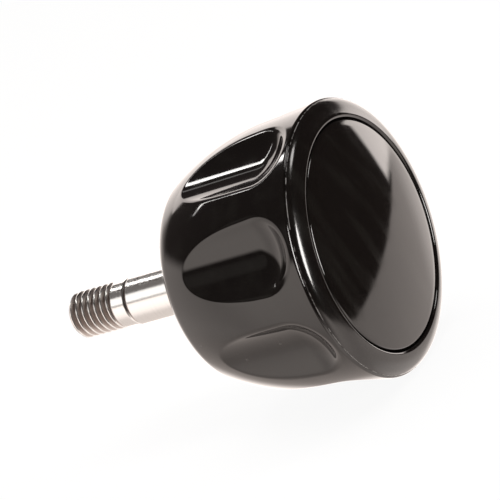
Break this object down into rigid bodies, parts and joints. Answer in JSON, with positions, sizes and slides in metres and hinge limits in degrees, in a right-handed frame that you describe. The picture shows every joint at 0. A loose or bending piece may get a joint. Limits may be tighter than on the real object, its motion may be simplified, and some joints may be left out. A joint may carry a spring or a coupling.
{
  "type": "fluted hand knob",
  "caption": "Round black hand knob with scooped finger flutes, a domed front cap and a moulded-in steel stud that screws into a machine or clamp.",
  "frame": {"origin": "on the knob's axis, in the plane of the stud's shoulder, where the threaded end begins", "axes": "+Y along the axis and out of the threaded end, -Y out of the front cap, +Z through the middle of a land"},
  "size_m": [0.0464, 0.0603, 0.0464],
  "materials": {
    "black_gloss": "polished moulded black",
    "stud_steel": "fine turned, polished"
  },
  "bodies": {
    "root": {"knob_body": "black_gloss", "front_cap": "black_gloss", "threaded_stud": "stud_steel"}
  },
  "joints": []
}
